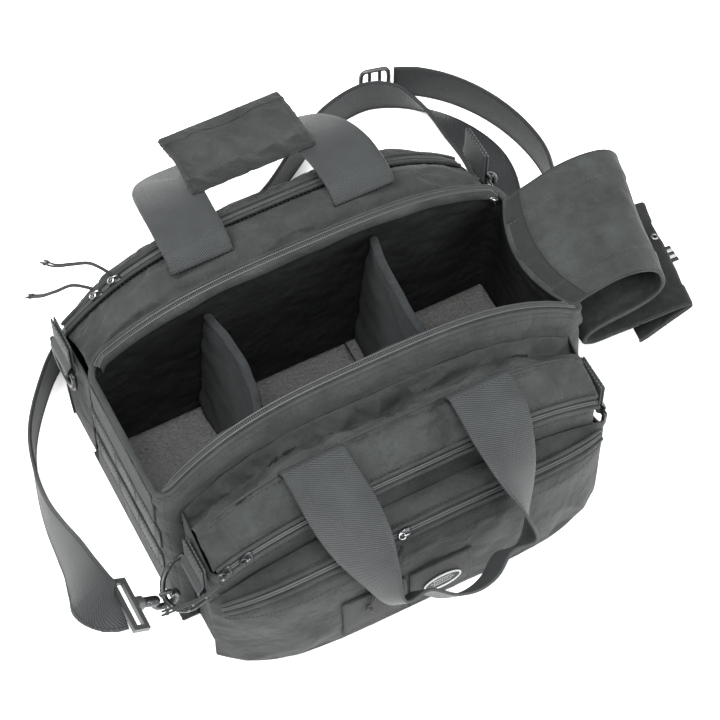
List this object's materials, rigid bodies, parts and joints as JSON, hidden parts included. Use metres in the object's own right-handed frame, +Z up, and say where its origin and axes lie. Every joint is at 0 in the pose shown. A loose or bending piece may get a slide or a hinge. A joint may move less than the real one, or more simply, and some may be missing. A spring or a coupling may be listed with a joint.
{
  "type": "flight bag",
  "caption": "Soft flight bag with its arched lid rolled back, two dividers, zipped front, outer and back pockets, carry handles and a shoulder strap.",
  "frame": {"origin": "middle of the underside of the base, on the surface the bag stands on", "axes": "+X along the bag to the end where the lid is hinged, -Y to the front pockets, +Z up"},
  "size_m": [0.5498, 0.5158, 0.21],
  "materials": {
    "nylon": "woven, matt",
    "webbing": "woven, slight sheen",
    "loop": "fuzzy pile",
    "felt": "brushed lining",
    "pad": "rough speckled",
    "zip": "woven tape",
    "steel": "black, worn bright",
    "board": "smooth"
  },
  "bodies": {
    "bag": {"base_panel": "nylon", "base_stiffener": "board", "floor_pad_left": "pad", "floor_pad_middle": "pad", "floor_pad_right": "pad", "main_front_panel": "nylon", "main_back_panel": "nylon", "left_end_panel": "nylon", "right_end_panel": "nylon", "rim_zip_front": "zip", "rim_zip_back": "zip", "left_loop_strip": "loop", "front_pocket_gusset": "nylon", "front_pocket_roof": "nylon", "front_pocket_face": "nylon", "front_pocket_zip": "zip", "outer_pocket_face": "nylon", "outer_pocket_zip": "zip", "back_pocket_gusset": "nylon", "back_pocket_roof": "nylon", "back_pocket_face": "nylon", "back_pocket_zip": "zip", "loop_patches": "loop", "badge": "webbing", "ring_tabs": "webbing", "shoulder_strap": "webbing", "strap_loop": "webbing", "strap_adjuster": "board", "strap_eyes": "steel"},
    "front_handle": {"front_handle": "webbing"},
    "back_handle": {"back_handle": "webbing"},
    "handle_wrap": {"handle_wrap": "nylon"},
    "divider_left": {"divider_left": "felt"},
    "divider_right": {"divider_right": "felt"},
    "d_ring_front_left": {"d_ring_front_left": "steel"},
    "d_ring_front_right": {"d_ring_front_right": "steel"},
    "d_ring_back_left": {"d_ring_back_left": "steel"},
    "d_ring_back_right": {"d_ring_back_right": "steel"},
    "back_slider_left": {"back_zip_slider_left": "steel", "back_pull_left": "webbing"},
    "back_slider_right": {"back_zip_slider_right": "steel", "back_pull_right": "webbing"},
    "front_sliders": {"front_zip_sliders": "steel", "front_pulls": "webbing"},
    "outer_slider": {"outer_zip_slider": "steel", "outer_pull": "webbing"},
    "lid_slider_front": {"lid_zip_slider_front": "steel"},
    "lid_slider_back": {"lid_zip_slider_back": "steel"},
    "hook_front_left": {"hook_front_left": "steel"},
    "hook_back_right": {"hook_back_right": "steel"},
    "gate_front_left": {"gate_front_left": "steel"},
    "gate_back_right": {"gate_back_right": "steel"},
    "lid_1": {"lid_panel_1": "nylon"},
    "lid_2": {"lid_panel_2": "nylon"},
    "lid_3": {"lid_panel_3": "nylon"},
    "lid_4": {"lid_panel_4": "nylon"},
    "lid_5": {"lid_panel_5": "nylon"},
    "lid_6": {"lid_panel_6": "nylon"},
    "lid_7": {"lid_panel_7": "nylon"},
    "lid_8": {"lid_panel_8": "nylon"}
  },
  "joints": [
    {"name": "lid_hinge", "type": "hinge", "parent": "bag", "child": "lid_1", "pos_m": [0.182, 0, 0.158], "axis": [0, -1, 0], "range_deg": [0, 124]},
    {"name": "lid_fold_1", "type": "hinge", "parent": "lid_1", "child": "lid_2", "pos_m": [0.2228, 0, 0.17448], "axis": [0, -1, 0], "range_deg": [0, 45.5]},
    {"name": "lid_fold_2", "type": "hinge", "parent": "lid_2", "child": "lid_3", "pos_m": [0.26192, 0, 0.16617], "axis": [0, -1, 0], "range_deg": [0, 65.5]},
    {"name": "lid_fold_3", "type": "hinge", "parent": "lid_3", "child": "lid_4", "pos_m": [0.27316, 0, 0.13835], "axis": [0, -1, 0], "range_deg": [0, 80.5]},
    {"name": "lid_fold_4", "type": "hinge", "parent": "lid_4", "child": "lid_5", "pos_m": [0.25171, 0, 0.12035], "axis": [0, -1, 0], "range_deg": [0, 33.5]},
    {"name": "lid_fold_5", "type": "hinge", "parent": "lid_5", "child": "lid_6", "pos_m": [0.19107, 0, 0.10746], "axis": [0, -1, 0], "range_deg": [-67, 0]},
    {"name": "lid_fold_6", "type": "hinge", "parent": "lid_6", "child": "lid_7", "pos_m": [0.1869, 0, 0.08383], "axis": [0, -1, 0], "range_deg": [-81.6, 0]},
    {"name": "lid_fold_7", "type": "hinge", "parent": "lid_7", "child": "lid_8", "pos_m": [0.29409, 0, 0.07067], "axis": [0, -1, 0], "range_deg": [0, 172.1]},
    {"name": "front_handle_swing", "type": "hinge", "parent": "bag", "child": "front_handle", "pos_m": [0, -0.092, 0.176], "axis": [-1, 0, 0], "range_deg": [0, 128]},
    {"name": "back_handle_swing", "type": "hinge", "parent": "bag", "child": "back_handle", "pos_m": [0, 0.094, 0.2], "axis": [1, 0, 0], "range_deg": [0, 105]},
    {"name": "wrap_turn", "type": "hinge", "parent": "back_handle", "child": "handle_wrap", "pos_m": [0, 0.188, 0.184], "axis": [-1, 0, 0], "range_deg": [0, 40]},
    {"name": "divider_left_shift", "type": "slide", "parent": "bag", "child": "divider_left", "axis": [1, 0, 0], "range_m": [-0.025, 0.025]},
    {"name": "divider_right_shift", "type": "slide", "parent": "bag", "child": "divider_right", "axis": [1, 0, 0], "range_m": [-0.025, 0.025]},
    {"name": "d_ring_front_left_swing", "type": "hinge", "parent": "bag", "child": "d_ring_front_left", "pos_m": [-0.1694, -0.098, 0.092], "axis": [0, 1, 0], "range_deg": [-8, 8]},
    {"name": "d_ring_front_right_swing", "type": "hinge", "parent": "bag", "child": "d_ring_front_right", "pos_m": [0.1694, -0.098, 0.092], "axis": [0, -1, 0], "range_deg": [0, 120]},
    {"name": "d_ring_back_left_swing", "type": "hinge", "parent": "bag", "child": "d_ring_back_left", "pos_m": [-0.1814, 0.108, 0.112], "axis": [0, 1, 0], "range_deg": [0, 120]},
    {"name": "d_ring_back_right_swing", "type": "hinge", "parent": "bag", "child": "d_ring_back_right", "pos_m": [0.1814, 0.108, 0.132], "axis": [0, -1, 0], "range_deg": [-8, 8]},
    {"name": "hook_front_left_swivel", "type": "hinge", "parent": "bag", "child": "hook_front_left", "pos_m": [-0.19365, -0.098, 0.078], "axis": [-0.866, 0, 0.5], "range_deg": [-15, 15]},
    {"name": "gate_front_left_swing", "type": "hinge", "parent": "hook_front_left", "child": "gate_front_left", "pos_m": [-0.19751, -0.098, 0.08668], "axis": [0, 1, 0], "range_deg": [0, 20], "stiffness_Nm_per_rad": 0.02},
    {"name": "hook_back_right_swivel", "type": "hinge", "parent": "bag", "child": "hook_back_right", "pos_m": [0.18865, 0.108, 0.10495], "axis": [0.1736, 0, -0.9848], "range_deg": [-15, 15]},
    {"name": "gate_back_right_swing", "type": "hinge", "parent": "hook_back_right", "child": "gate_back_right", "pos_m": [0.18448, 0.108, 0.09642], "axis": [0, 1, 0], "range_deg": [0, 20], "stiffness_Nm_per_rad": 0.02},
    {"name": "back_slider_left_travel", "type": "slide", "parent": "bag", "child": "back_slider_left", "axis": [0.8315, 0, 0.5555], "range_m": [-0.01, 0.003]},
    {"name": "back_slider_right_travel", "type": "slide", "parent": "bag", "child": "back_slider_right", "axis": [0.8895, 0, 0.4569], "range_m": [-0.003, 0.014]},
    {"name": "front_sliders_travel", "type": "slide", "parent": "bag", "child": "front_sliders", "axis": [0.9216, 0, 0.3881], "range_m": [-0.002, 0.02]},
    {"name": "outer_slider_travel", "type": "slide", "parent": "bag", "child": "outer_slider", "axis": [1, 0, 0], "range_m": [-0.05, 0.05]},
    {"name": "lid_slider_front_travel", "type": "slide", "parent": "bag", "child": "lid_slider_front", "axis": [-0.7802, 0, 0.6256], "range_m": [0, 0.012]},
    {"name": "lid_slider_back_travel", "type": "slide", "parent": "bag", "child": "lid_slider_back", "axis": [-0.7802, 0, 0.6256], "range_m": [0, 0.012]}
  ],
  "couplings": [
    {"joint": "lid_fold_1", "follows": "lid_hinge", "ratio": 0.3629},
    {"joint": "lid_fold_2", "follows": "lid_hinge", "ratio": 0.52419},
    {"joint": "lid_fold_3", "follows": "lid_hinge", "ratio": 0.64516},
    {"joint": "lid_fold_4", "follows": "lid_hinge", "ratio": 0.26613},
    {"joint": "lid_fold_5", "follows": "lid_hinge", "ratio": -0.53629},
    {"joint": "lid_fold_6", "follows": "lid_hinge", "ratio": -0.65403},
    {"joint": "lid_fold_7", "follows": "lid_hinge", "ratio": 1.3839}
  ]
}
